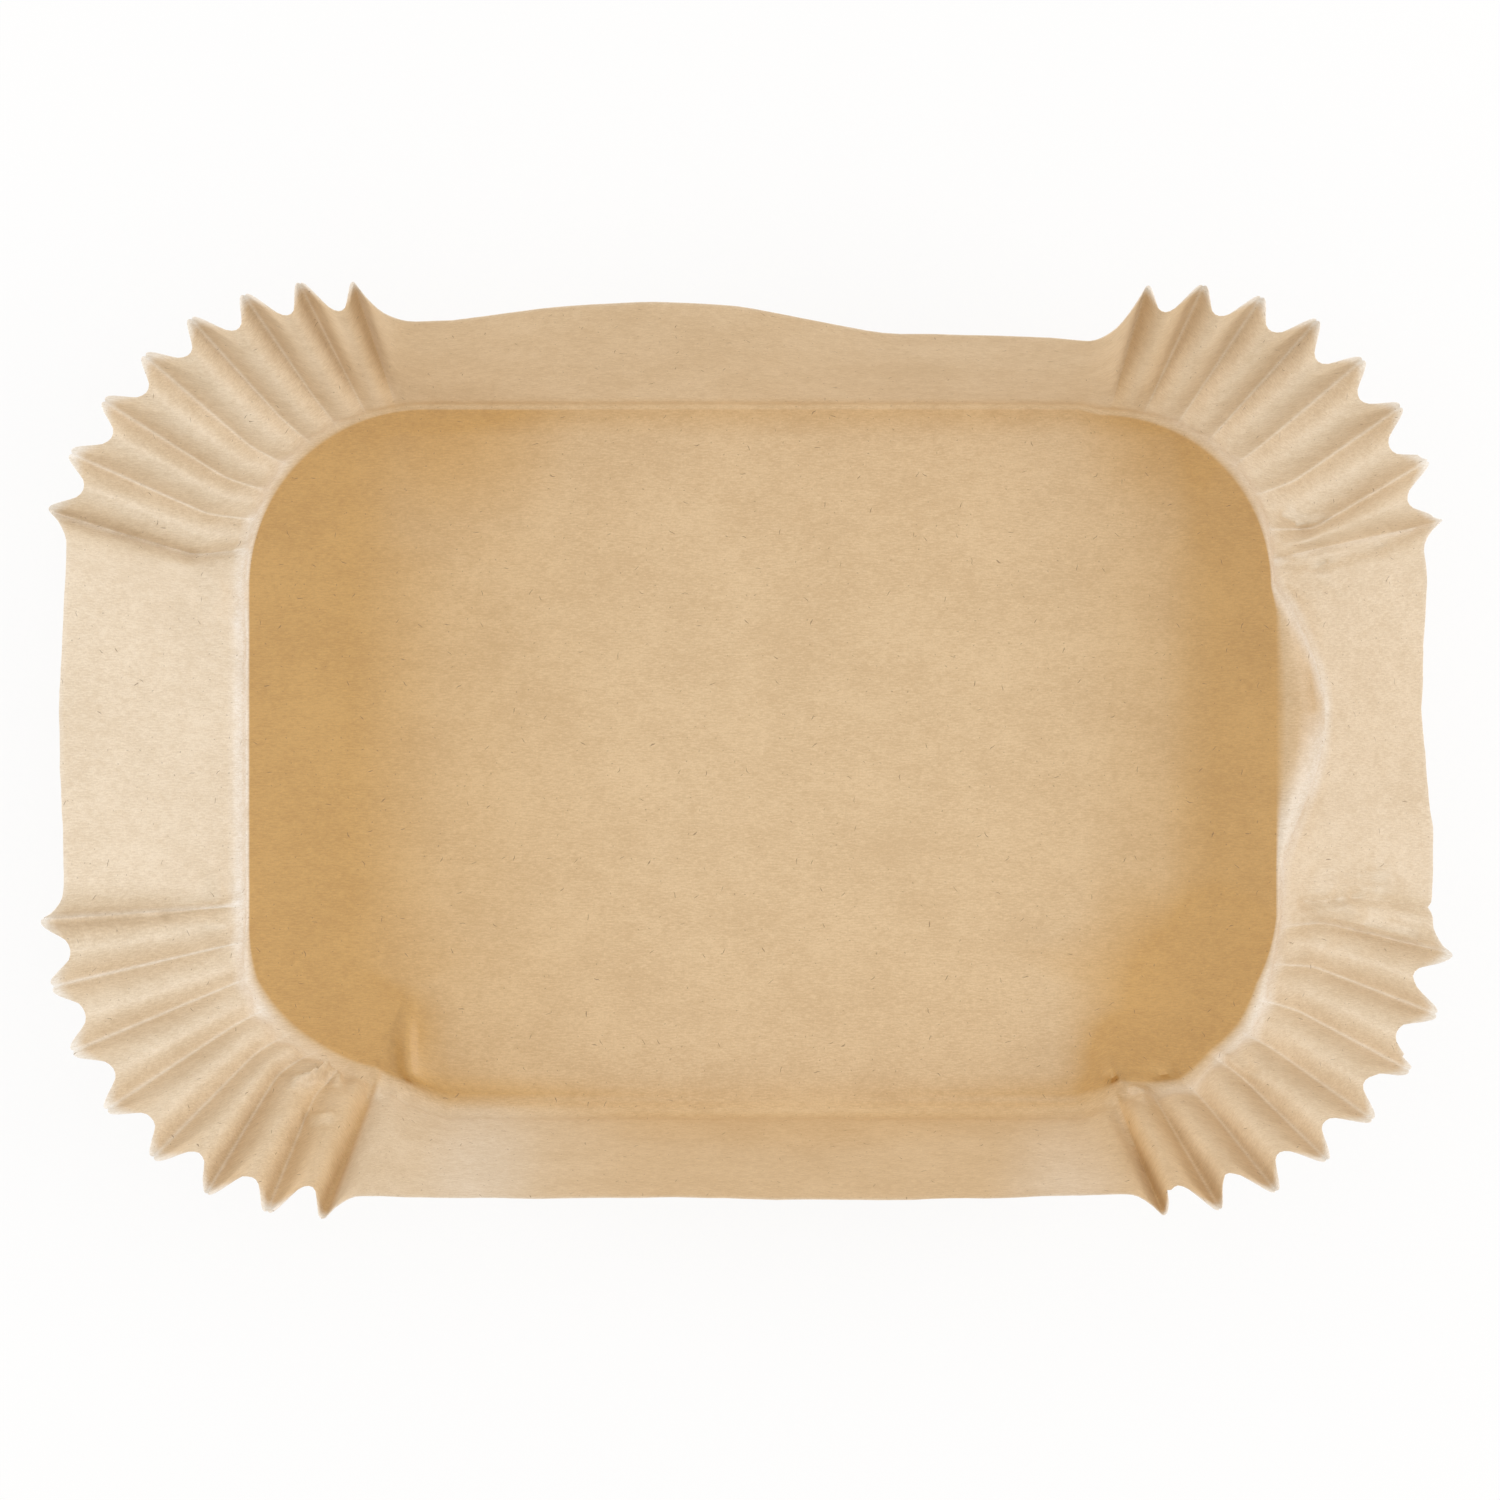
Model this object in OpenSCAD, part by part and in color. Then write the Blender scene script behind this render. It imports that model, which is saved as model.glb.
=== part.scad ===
// Paper liner for an air fryer basket: one sheet of unbleached baking paper, pressed into a
// shallow tray. The floor is a rounded rectangle, the walls lean out from the fold round it,
// and the paper that is spare at each corner is taken up in pleats that start at the fold.
// Millimetres, +Z up. The origin is the middle of the underside of the floor.

/* [Floor] */
// Length of the floor, from one end fold to the other
floor_l = 216; // [180:1:260]
// Width of the floor, from one side fold to the other
floor_w = 145; // [125:1:180]
// Radius of the floor's corners, measured on the fold
corner_r = 37; // [30:1:42]

/* [Paper] */
// Thickness of the sheet
paper_t = 0.1; // [0.06:0.01:0.3]
// Paper in the wall, from the fold to the cut edge
wall_len = 45; // [32:1:56]
// Radius at which the floor turns up into an end wall
fold_r = 1; // [0.6:0.1:2]
// The same radius along the back
fold_r_back = 1.6; // [0.8:0.2:4]
// The same radius along the front, where the press left the fold soft
fold_r_front = 4; // [1:0.2:5]
// How much larger it is in the middle of a corner, where the press can't crease it
corner_fold_more = 1.6; // [0:0.2:3]
// Radius at which the steep foot of the wall opens outwards
flare_r = 5; // [3:0.5:8]

/* [Lean of the walls, in degrees from upright] */
// Middle of the wall at the left end
lean_left = 61; // [45:1:64]
// Middle of the wall at the right end
lean_right = 41; // [36:1:56]
// Middle of the wall along the back
lean_back = 17.5; // [16:0.5:34]
// Middle of the wall along the front
lean_front = 21; // [16:0.5:34]

/* [Pleats] */
// Grooves in each corner
pleats = 8; // [6:1:9]
// Height of a pleat at the cut edge, from groove to crest
pleat_h = 5.5; // [3:0.5:6.5]
// How much further the paper reaches at a groove than between two of them
scallop = 2.5; // [0:0.5:3]

/* [Waves and the dent] */
// How much more the back wall leans out in the swell left of its middle, in degrees
back_swell = 7; // [0:0.5:8]
// How far the dent opens the fold of the right end wall
dent_depth = 8; // [4:0.5:10]
// Half the length of that dent
dent_half = 33; // [20:1:35]
// How much less the wall leans out above the dent, in degrees
dent_pull = 5; // [0:0.5:8]

/* [Hidden] */
half_l = floor_l / 2 - corner_r;
half_w = floor_w / 2 - corner_r;
deg = 180 / PI;
foot_tilt = 84;       // steepest slope of the wall, just above the fold
dent_flare_r = 1.5;   // the wall creases where the dent ends
groove_share = 0.6;   // share of a pleat's height that lies outside the plain wall
pleat_root = 2.5;     // paper above the fold before a pleat begins
pleat_growth = 0.6;   // a pleat deepens as this power of the way up the wall
groove_run = 4;       // length of fold over which an outer groove runs into a plain wall
lean_run = 9;         // the same length for the lean of a corner
bow_run = 20;         // the same length for the bow of an outer groove
pleat_steps = 6;      // facets across one pleat
bow_at = 0.3;         // share of the wall at which a groove bows most
bow_round = 0.15;     // how softly it bends there
swell_at = -18;       // middle of the back wall's swell
swell_half = 45;      // half the length of that swell
dent_at = 3;          // middle of the dent along the right end wall
pull_at = 9;          // where that wall is drawn in most
pull_half = 25;       // half the length over which it is drawn in

// The plain walls, from the right end round to the front: the lean of the middle, how much
// more the wall leans at its last end than there, and how much both ends are drawn in
sides = [
    [lean_right, -2.6, 0],
    [lean_back, 3.7, 0],
    [lean_left, 0, 5],
    [lean_front, 0, 0]
];

// The corners as pressed, from the one at the back of the right end round to the front:
// place on the arc of the first and last groove, the way these two head, the lean of the
// wall at both and how much more it leans midway, all in degrees
corners = [
    [8.7, 87.4, 12, 77, 39, 26.6, 6],
    [9, 77.4, 15, 81, 28.6, 62, 0],
    [-6, 73.3, 3, 72, 63, 25, 5],
    [3.9, 88, 20, 84, 22, 43, 0]
];

// How far the grooves of each corner bow sideways, from its first groove to its last, as
// shares of the paper in the wall. A groove leaves the fold square to it and then turns
// towards its tip; a minus sign bows it back towards the side before the corner.
bows = [
    [0, -0.09, -0.045, -0.01, 0, 0, 0, 0],
    [0, 0, 0.01, 0.02, 0.04, 0.05, 0.06, 0.08],
    [0, 0, 0, -0.015, -0.045, -0.09, -0.075, 0],
    [0, 0, 0.01, 0.02, 0.02, 0.035, 0.055, 0.065]
];

// Where handling has pushed the fold of a corner inwards in flats and kinks: places on the
// corner's arc, in degrees, and how far in the fold lies there, as shares of the corner's
// radius. The corner at the back of the left end kept its curve.
pushes = [
    [[-8, 0], [0, 0.03], [90, 0.03], [97, 0]],
    [[0, 0]],
    [[18, 0], [48, 0.1], [71, 0.15], [84, 0.1], [97, 0]],
    [[-8, 0], [7, 0.115], [27, 0.02], [41, 0.055], [54, 0.04], [69, 0.055], [84, 0.02], [92, 0]]
];

function unit(v) = v / norm(v);
function heading(a) = [cos(a), sin(a), 0];
function bump(s) = abs(s) < 1 ? pow(1 - s * s, 1.5) : 0;

// Centre of corner k's arc, and half the straight length of side k
function corner_centre(k) =
    [k == 0 || k == 3 ? half_l : -half_l, k < 2 ? half_w : -half_w, 0];
function half_side(k) = k % 2 == 0 ? half_w : half_l;

// Point of the fold at the length y round it from the middle of side k
function fold_point(k, y) =
    let (half = half_side(k), past = (abs(y) - half) / corner_r * deg)
    abs(y) <= half
    ? (k % 2 == 0 ? floor_l : floor_w) / 2 * heading(90 * k) + y * heading(90 * k + 90)
    : corner_centre(y > 0 ? k : (k + 3) % 4) + corner_r * heading(90 * k + sign(y) * past);

// Fold radius of each side, from the right end round to the front
fold_radii = [fold_r, fold_r_back, fold_r, fold_r_front];

// Eased value of a list at the share u of its length
function along(list, u) =
    let (at = u * (len(list) - 1), i = min(floor(at), len(list) - 2), v = at - i)
    list[i] + (list[i + 1] - list[i]) * v * v * (3 - 2 * v);

// Height of a pleat across its grooves: sharp grooves and broad round crests
function pleat_wave(g) = abs(sin(180 * g)) - groove_share;
function groove_tail(d) = -groove_share * pow(max(0, 1 - d / groove_run), 2);

// A station on the fold: [point, heading of the wall, slope, fold radius, flare radius,
// pleat, way out of the fold, bow, push]
function corner_station(k, g) =
    let (u = g / (pleats - 1),
         c = corners[k],
         arc = c[0] + (c[1] - c[0]) * u,
         lean = c[4] + (c[5] - c[4]) * u + c[6] * 4 * u * (1 - u),
         bend = fold_radii[k] + (fold_radii[(k + 1) % 4] - fold_radii[k]) * u
             + corner_fold_more * pow(sin(180 * u), 2))
    [fold_point(k, half_side(k) + arc / deg * corner_r),
     90 * k + c[2] + (c[3] - c[2]) * u,
     90 - lean, bend, flare_r, pleat_wave(g),
     90 * k + min(max(arc, 0), 90), along(bows[k], u), lookup(arc, pushes[k])];

// Lengths round the fold at which side k's plain wall starts and ends
function side_start(k) = -half_side(k) - (90 - corners[(k + 3) % 4][1]) / deg * corner_r;
function side_end(k) = half_side(k) + corners[k][0] / deg * corner_r;

// Lean of a plain wall, away from the corners, at the length y along it
function plain_lean(k, s, y) =
    sides[k][0] + sides[k][1] * s - sides[k][2] * s * s
    + (k == 1 ? back_swell * bump((-y - swell_at) / swell_half) : 0)
    - (k == 0 ? dent_pull * bump((y - pull_at) / pull_half) : 0);

function side_station(k, y) =
    let (before = corners[(k + 3) % 4],
         after = corners[k],
         s = 2 * (y - side_start(k)) / (side_end(k) - side_start(k)) - 1,
         fan = s < 0 ? (90 - before[3]) * pow(s, 3) : after[2] * pow(s, 3),
         from_groove = min(y - side_start(k), side_end(k) - y),
         corner_share = pow(max(0, 1 - from_groove / lean_run), 2),
         plain = plain_lean(k, s, y),
         lean = plain + ((s < 0 ? before[5] : after[4]) - plain) * corner_share,
         open = k == 0 ? bump((y - dent_at) / dent_half) : 0,
         past = (abs(y) - half_side(k)) / corner_r * deg,
         push = y > 0 ? lookup(past, pushes[k]) : lookup(90 - past, pushes[(k + 3) % 4]),
         bow = s < 0 ? bows[(k + 3) % 4][len(bows[k]) - 1] : bows[k][0])
    [fold_point(k, y), 90 * k + fan, 90 - lean,
     fold_radii[k] + open * dent_depth, flare_r + (dent_flare_r - flare_r) * open,
     groove_tail(from_groove), 90 * k + sign(y) * max(past, 0),
     bow * pow(max(0, 1 - from_groove / bow_run), 2), push];

// Stations of the plain walls lie closer together where the outer grooves run out: shares
// of the run at both ends, then even steps
run_shares = [0.11, 0.27, 0.45, 0.67, 1, 1.45];
middle_steps = 7;
function side_places(k) =
    let (from = side_start(k), to = side_end(k), run = lean_run * run_shares,
         last = len(run) - 1, middle = to - from - 2 * run[last])
    concat([for (d = run) from + d],
           [for (i = [1 : middle_steps - 1]) from + run[last] + middle * i / middle_steps],
           [for (i = [last : -1 : 0]) to - run[i]]);

stations = [
    for (k = [0 : 3]) each concat(
        [for (y = side_places(k)) side_station(k, y)],
        [for (i = [0 : (pleats - 1) * pleat_steps]) corner_station(k, i / pleat_steps)])
];

// Rows of the grid up the wall: steps in the fold's arc and the flare's, shares of the blade
fold_rows = 3;
flare_rows = 2;
blade_rows = [0.1, 0.22, 0.4, 0.68, 1];
last_row = fold_rows + flare_rows + len(blade_rows);

// Lengths of paper from the floor's edge to the end of the fold's arc and of the flare's
function fold_end(st) = st[3] * foot_tilt / deg;
function flare_end(st) = fold_end(st) + st[4] * (foot_tilt - st[2]) / deg;
function row_length(st, j) =
    let (reach = wall_len - scallop * st[5])
    j <= fold_rows ? fold_end(st) * j / fold_rows
    : j <= fold_rows + flare_rows
    ? fold_end(st) + (flare_end(st) - fold_end(st)) * (j - fold_rows) / flare_rows
    : flare_end(st) + (reach - flare_end(st)) * blade_rows[j - fold_rows - flare_rows - 1];

// The wall's section: the fold's arc, the flare's arc the other way and a straight blade.
// Gives [out, up, slope] at the length t above the fold.
function arc_run(r, from, to) = r * [sin(to) - sin(from), cos(from) - cos(to)];
function section(st, t) =
    let (bent = min(foot_tilt, t / st[3] * deg),
         opened = max(0, min(t, flare_end(st)) - fold_end(st)) / st[4] * deg,
         slope = bent - opened,
         foot = arc_run(st[3], 0, bent) - arc_run(st[4], foot_tilt, foot_tilt - opened),
         blade = max(0, t - flare_end(st)) * [cos(slope), sin(slope)])
    [foot[0] + blade[0], foot[1] + blade[1], slope];

// How far a groove has bowed at the share w of the wall: none at the fold and at the edge
function bow_share(w) =
    let (rise = w / bow_at, fall = (1 - w) / (1 - bow_at))
    (rise + fall - norm([rise - fall, bow_round])) / 2;

// Outer face of the sheet at a station and a row
function wall_point(st, j) =
    let (t = row_length(st, j),
         w = t / wall_len,
         place = section(st, t),
         grown = pow(max(0, t - pleat_root) / (wall_len - pleat_root), pleat_growth),
         lift = pleat_h * grown * st[5])
    st[0] + (place[0] - lift * sin(place[2])) * heading(st[1])
    + [0, 0, place[1] + lift * cos(place[2])]
    + st[7] * wall_len * bow_share(w) * heading(st[6] + 90)
    - st[8] * corner_r * max(0, 1 - w) * heading(st[6]);

count = len(stations);
outer = [for (j = [0 : last_row]) [for (st = stations) wall_point(st, j)]];

// Direction through the sheet, from the outer face to the inner one
function through(j, i) =
    j == 0 ? [0, 0, 1]
    : let (up = outer[min(j + 1, last_row)][i] - outer[j - 1][i],
           round_it = outer[j][(i + 1) % count] - outer[j][(i + count - 1) % count])
      unit(cross(up, round_it));

inner = [for (j = [0 : last_row]) [for (i = [0 : count - 1]) outer[j][i] + paper_t * through(j, i)]];

// Numbers of the grid's points: the outer face, the inner one, then the floor's two middles
function at(j, i) = j * count + i % count;
inner_at = count * (last_row + 1);
under_middle = 2 * inner_at;
floor_middle = under_middle + 1;

function quad(a, b, c, d) = [[a, b, c], [a, c, d]];
outer_faces = [
    for (j = [0 : last_row - 1], i = [0 : count - 1])
        each quad(at(j, i), at(j + 1, i), at(j + 1, i + 1), at(j, i + 1))
];
inner_faces = [
    for (j = [0 : last_row - 1], i = [0 : count - 1])
        each quad(inner_at + at(j, i), inner_at + at(j, i + 1),
                  inner_at + at(j + 1, i + 1), inner_at + at(j + 1, i))
];
edge_faces = [
    for (i = [0 : count - 1])
        each quad(at(last_row, i), inner_at + at(last_row, i),
                  inner_at + at(last_row, i + 1), at(last_row, i + 1))
];
floor_faces = [
    for (i = [0 : count - 1])
        each [[under_middle, i, at(0, i + 1)],
              [floor_middle, inner_at + at(0, i + 1), inner_at + i]]
];

module liner() {
    color("burlywood")
        polyhedron(
            points = concat([for (row = outer) each row], [for (row = inner) each row],
                            [[0, 0, 0], [0, 0, paper_t]]),
            faces = concat(floor_faces, outer_faces, inner_faces, edge_faces),
            convexity = 8);
}

liner();
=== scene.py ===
# %% [markdown]
# # A paper liner for an air fryer basket
#
# The real object is one sheet of unbleached baking paper. A press pushes a blank with rounded
# corners into a shallow tray, so its floor is a rounded rectangle, its walls lean outwards, and
# the paper that is spare in each corner gathers in pleats. Nothing is glued or sewn.
#
# The imported model gives the frame of this scene: a plain solid of the same tray, in metres. The
# sheet made here stands for that solid and adds what is too small for it: creases, crumples,
# nicks, a ragged cut edge and the look of kraft paper, with painted light, painted shade and
# painted highlights in its colour.

# %% Load the imported tray
import math
import bmesh
import bpy
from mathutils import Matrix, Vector, noise


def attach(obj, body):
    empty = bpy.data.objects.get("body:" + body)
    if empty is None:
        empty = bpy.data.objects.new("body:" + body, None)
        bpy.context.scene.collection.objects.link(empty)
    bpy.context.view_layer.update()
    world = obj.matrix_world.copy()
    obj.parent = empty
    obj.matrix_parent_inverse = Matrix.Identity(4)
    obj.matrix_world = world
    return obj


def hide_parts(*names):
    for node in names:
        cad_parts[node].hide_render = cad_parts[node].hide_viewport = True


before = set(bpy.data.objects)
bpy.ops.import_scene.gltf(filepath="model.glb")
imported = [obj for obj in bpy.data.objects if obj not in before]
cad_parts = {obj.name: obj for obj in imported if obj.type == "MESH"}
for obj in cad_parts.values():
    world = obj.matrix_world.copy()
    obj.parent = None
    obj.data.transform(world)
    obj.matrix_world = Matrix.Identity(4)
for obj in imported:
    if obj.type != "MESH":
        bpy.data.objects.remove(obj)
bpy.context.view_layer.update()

# %% [markdown]
# ## Sizes of the tray
#
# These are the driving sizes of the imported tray. They are written in millimetres, as a paper
# converter gives them, and a point becomes metres where it enters a mesh.

# %% Sizes in millimetres and degrees
MM = 0.001
floor_l, floor_w, corner_r = 216, 145, 37
paper_t, wall_len = 0.1, 45
fold_bends, corner_bend_more = (1, 1.6, 1, 4), 1.6  # radius at each side, and more in a corner
flare_r, foot_tilt = 5, 84
pleats, pleat_h, scallop = 8, 5.5, 2.5
half_l, half_w = floor_l / 2 - corner_r, floor_w / 2 - corner_r
print("flat blank, mm:", floor_l + 2 * wall_len, "by", floor_w + 2 * wall_len)

# %% [markdown]
# ## The fold round the floor
#
# Every wall starts at the fold between floor and wall, so each point of the sheet can be found
# from two numbers: how far round the fold it stands, and how much paper lies between it and
# the fold. The four sides are numbered from the right end, turning left, and so are the
# corners after them.

# %% Find a point of the fold
def heading(angle):
    return Vector((math.cos(math.radians(angle)), math.sin(math.radians(angle)), 0))


def half_side(k):
    return half_w if k % 2 == 0 else half_l


def corner_centre(k):
    return Vector((half_l if k in (0, 3) else -half_l, half_w if k < 2 else -half_w, 0))


def fold_place(k, y):
    """The fold at the length y from the middle of side k: its place and the way out of it."""
    half = half_side(k)
    if abs(y) <= half:
        end = (floor_l if k % 2 == 0 else floor_w) / 2
        return heading(90 * k) * end + heading(90 * k + 90) * y, 90 * k
    out = 90 * k + math.copysign(math.degrees((abs(y) - half) / corner_r), y)
    return corner_centre(k if y > 0 else (k + 3) % 4) + heading(out) * corner_r, out


print("a corner's fold is", round(math.pi / 2 * corner_r, 1), "mm long")

# %% [markdown]
# ## How the walls lean
#
# No two walls of a pressed paper tray lean alike: the left end has fallen open, the back one
# stands nearly upright and swells left of its middle, and the right end has a dent at its
# foot. Each wall has its own lean, and between two walls a corner turns from one to the other.

# %% Lean of the walls
# Each side: lean in its middle, how much more at its end, and how much less at both ends
side_lean = [(41, -2.6, 0), (17.5, 3.7, 0), (61, 0, 5), (21, 0, 0)]
back_swell, swell_at, swell_half = 7, -18, 45
dent_depth, dent_at, dent_flare_r = 8.5, 9, 1.2
dent_behind, dent_before = 29, 34
dent_pull, pull_at, pull_half = 5, 9, 25
# Each corner: place of its first and last groove, how far each is turned, lean at each, and
# how much more lean between them, all in degrees
corners = [
    (8.7, 87.4, 12, 77, 39, 26.6, 6),
    (9, 77.4, 15, 81, 28.6, 62, 0),
    (-6, 73.3, 3, 72, 63, 25, 5),
    (3.9, 88, 20, 84, 22, 43, 0),
]


def bump(s):
    """A smooth hump, 1 in its middle and 0 from s = 1 on."""
    return (1 - s * s) ** 1.5 if abs(s) < 1 else 0


def plain_lean(k, s, y):
    lean = side_lean[k][0] + side_lean[k][1] * s - side_lean[k][2] * s * s
    if k == 1:
        lean += back_swell * bump((-y - swell_at) / swell_half)
    if k == 0:
        lean -= dent_pull * bump((y - pull_at) / pull_half)
    return lean


print("leans of the right, back, left and front walls:", [lean[0] for lean in side_lean])

# %% [markdown]
# ## The pleats
#
# A press gathers the spare paper of a corner in pleats. Seen from inside, each is a broad
# round crest between two grooves, which are sharp at the fold and end in small rounded beaks
# at the cut edge. The grooves leave the fold square to it and turn sideways a third of the way
# up, more in some corners than in others, so each groove has a bow, as a share of the paper in
# the wall. Handling has also pushed the fold of three corners inwards, in flats and kinks. A
# table for each corner gives how far, as a share of its radius, at places in degrees.

# %% Shape of a pleat
groove_share, pleat_root, pleat_growth = 0.6, 2.5, 0.6
push_root = 22
groove_run, lean_run = 4, 9
root_round, rim_round = 0.12, 0.36
bow_at, bow_round, bow_run = 0.3, 0.15, 20
bows = [
    (0, -0.09, -0.045, -0.01, 0, 0, 0, 0),
    (0, 0, 0.01, 0.02, 0.04, 0.05, 0.06, 0.08),
    (0, 0, 0, -0.015, -0.045, -0.09, -0.075, 0),
    (0, 0, 0.01, 0.02, 0.02, 0.035, 0.055, 0.065),
]
pushes = [
    [(-8, 0), (0, 0.03), (90, 0.03), (97, 0)],
    [(0, 0)],
    [(18, 0), (48, 0.1), (71, 0.15), (84, 0.1), (97, 0)],
    [(-8, 0), (7, 0.115), (27, 0.02), (41, 0.055), (54, 0.04), (69, 0.055), (84, 0.02), (92, 0)],
]


def between(values, g):
    """Eased value between the grooves on both sides of g."""
    i = min(int(g), len(values) - 2)
    u = g - i
    return values[i] + (values[i + 1] - values[i]) * (u * u * (3 - 2 * u))


def read_table(table, at):
    """Value at a place in a table of places and values, level outside it."""
    for (a, low), (b, high) in zip(table, table[1:]):
        if a <= at <= b:
            return low + (high - low) * (at - a) / (b - a)
    return table[0][1] if at < table[0][0] else table[-1][1]


def bow_share(w):
    """How much of its bow a groove shows at the share w of the wall."""
    rise, fall = w / bow_at, (1 - w) / (1 - bow_at)
    return (rise + fall - math.hypot(rise - fall, bow_round)) / 2


def pleat_wave(g, roundness):
    """Height across the grooves, as a share: each groove a little rounded, each crest broad."""
    def rounded(height):
        return math.hypot(height, roundness) - roundness
    return rounded(math.sin(math.pi * g)) / rounded(1) - groove_share


def groove_tail(d):
    """How an outer groove runs out into the plain wall, at the length d from it."""
    return -groove_share * max(0, 1 - d / groove_run) ** 2


print("pleats in a corner:", pleats - 1, "with grooves", pleats)

# %% [markdown]
# ## Stations round the fold
#
# A station is a place on the fold with all that its strip of wall needs. The stations stand
# close together in the corners, closest at the grooves, and wider along the plain walls. The
# end walls and the pleats beside them get painted light, which makes them paler than the side
# walls, and a painted highlight lies along the steep root of the wall there and in parts of the
# corners, so a station also has its share of painted light and of painted root highlight. Along
# the dent it has the painted highlight of the rim that stands over it.

# %% Work out a station of a corner
pleat_steps, side_steps, run_steps = 20, 40, 10
# Painted light: its share on the right, back, left and front walls, and more in a corner's middle
side_painted_light, corner_painted_light_more = (0.9, 0.42, 1.0, 0.2), 0.3
# Painted highlight at the root of each wall, and below it across each corner
side_root_highlight = (0.7, 0, 1.5, 0)
corner_root_highlight = [(0.7, 0.4, 0.2, 0), (0, 0.2, 0.4, 1.2), (1.5, 1.0, 0.2, 0), (0, 0.3, 0.9, 0.7)]


def mixed(a, b, share):
    return a + (b - a) * share


def eased(share):
    share = min(1, max(0, share))
    return share * share * (3 - 2 * share)


def corner_station(k, g):
    u = g / (pleats - 1)
    first, last, head_first, head_last, lean_first, lean_last, lean_more = corners[k]
    arc = first + (last - first) * u
    place, out = fold_place(k, half_side(k) + math.radians(arc) * corner_r)
    lean = lean_first + (lean_last - lean_first) * u + lean_more * 4 * u * (1 - u)
    return {
        "place": place, "out": out, "corner": k, "groove": g,
        "heading": 90 * k + head_first + (head_last - head_first) * u,
        "slope": 90 - lean, "flare": flare_r,
        "bend": (mixed(fold_bends[k], fold_bends[(k + 1) % 4], u)
                 + corner_bend_more * math.sin(math.pi * u) ** 2),
        "wave": pleat_wave(g, rim_round), "bow": between(bows[k], g),
        "push": read_table(pushes[k], arc),
        "painted_light": min(1, (mixed(side_painted_light[k], side_painted_light[(k + 1) % 4], u)
                        + corner_painted_light_more * 4 * u * (1 - u))),
        "root": between(corner_root_highlight[k], 3 * u),
        "opened": 0, "rim_highlight": 0, "rim_width": 1,
    }


print("paleness of the right, back, left and front walls:", side_painted_light)

# %% Work out a station of a side
rim_width_behind, rim_width_before = 4.5, 9


def side_start(k):
    return -half_side(k) - math.radians(90 - corners[(k + 3) % 4][1]) * corner_r


def side_end(k):
    return half_side(k) + math.radians(corners[k][0]) * corner_r


def side_painted_light_share(k, y):
    """Painted light: the back wall is paler right of its middle, and the front wall at its left
    end.
    """
    if k == 1:
        return side_painted_light[k] + 0.2 * bump((y + 45) / 45)
    return side_painted_light[k] + (0.65 * eased(-(y + 20) / 45) if k == 3 else 0)


def side_station(k, y):
    before, after = corners[(k + 3) % 4], corners[k]
    s = 2 * (y - side_start(k)) / (side_end(k) - side_start(k)) - 1
    from_groove = min(y - side_start(k), side_end(k) - y)
    corner_share = max(0, 1 - from_groove / lean_run) ** 2
    lean = plain_lean(k, s, y)
    lean += ((before[5] if s < 0 else after[4]) - lean) * corner_share
    dent_half = dent_behind if y > dent_at else dent_before
    opened = bump((y - dent_at) / dent_half) if k == 0 else 0
    place, out = fold_place(k, y)
    bow = bows[(k + 3) % 4][-1] if s < 0 else bows[k][0]
    past = math.degrees((abs(y) - half_side(k)) / corner_r)
    push = read_table(pushes[k], past) if y > 0 else read_table(pushes[(k + 3) % 4], 90 - past)
    return {
        "place": place, "out": out, "corner": None, "groove": None,
        "heading": 90 * k + ((90 - before[3]) if s < 0 else after[2]) * s ** 3,
        "slope": 90 - lean, "flare": flare_r + (dent_flare_r - flare_r) * opened,
        "bend": fold_bends[k] + opened * dent_depth,
        "wave": groove_tail(from_groove), "bow": bow * max(0, 1 - from_groove / bow_run) ** 2,
        "push": push, "painted_light": side_painted_light_share(k, y), "root": side_root_highlight[k], "opened": opened,
        # Painted highlight along the rim of the dent, weaker at its middle
        "rim_highlight": opened ** 0.25 * (1 - 0.5 * bump((y - dent_at) / 6)),
        "rim_width": rim_width_behind if y > dent_at else rim_width_before,
    }


middle_of_dent = side_station(0, dent_at)
print("the fold's radius in the dent, mm:", middle_of_dent["bend"])

# %% Set out the stations round the fold
groove_crowding = 0.6


def side_places(k):
    """Lengths along side k, closer together where the outer grooves run out."""
    start, end = side_start(k), side_end(k)
    run = [lean_run * (i + 1) / run_steps for i in range(run_steps)]
    middle = [start + lean_run + (end - start - 2 * lean_run) * (i + 1) / side_steps
              for i in range(side_steps - 1)]
    return [start + d for d in run] + middle + [end - d for d in reversed(run)]


def groove_places():
    """Places across the pleats, in pleats from the first groove, closer at the grooves."""
    even = [i / pleat_steps for i in range((pleats - 1) * pleat_steps + 1)]
    return [g - groove_crowding * math.sin(2 * math.pi * g) / (2 * math.pi) for g in even]


stations = []
for k in range(4):
    stations += [side_station(k, y) for y in side_places(k)]
    stations += [corner_station(k, g) for g in groove_places()]
print("stations round the fold:", len(stations))

# %% [markdown]
# ## Section of the wall
#
# Cut across, the wall is a small arc at the fold, which turns the paper nearly upright, a wider
# arc the other way, which opens the wall outwards, and a straight blade up to the cut edge.

# %% Follow the section
fold_rows, flare_rows, blade_rows = 6, 4, 34
last_row = fold_rows + flare_rows + blade_rows


def arc_run(r, a, b):
    """Way out and height of an arc of radius r from the slope a to the slope b."""
    a, b = math.radians(a), math.radians(b)
    return r * (math.sin(b) - math.sin(a)), r * (math.cos(a) - math.cos(b))


def fold_end(st):
    return st["bend"] * math.radians(foot_tilt)


def flare_end(st):
    return fold_end(st) + st["flare"] * math.radians(foot_tilt - st["slope"])


def section(st, t):
    """Way out from the fold, height and slope after the length t of paper."""
    bent = min(foot_tilt, math.degrees(t / st["bend"]))
    opened = math.degrees(max(0, min(t, flare_end(st)) - fold_end(st)) / st["flare"])
    slope = bent - opened
    out1, up1 = arc_run(st["bend"], 0, bent)
    out2, up2 = arc_run(st["flare"], foot_tilt, foot_tilt - opened)
    blade = max(0, t - flare_end(st))
    across = math.radians(slope)
    return out1 - out2 + blade * math.cos(across), up1 - up2 + blade * math.sin(across), slope


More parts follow.
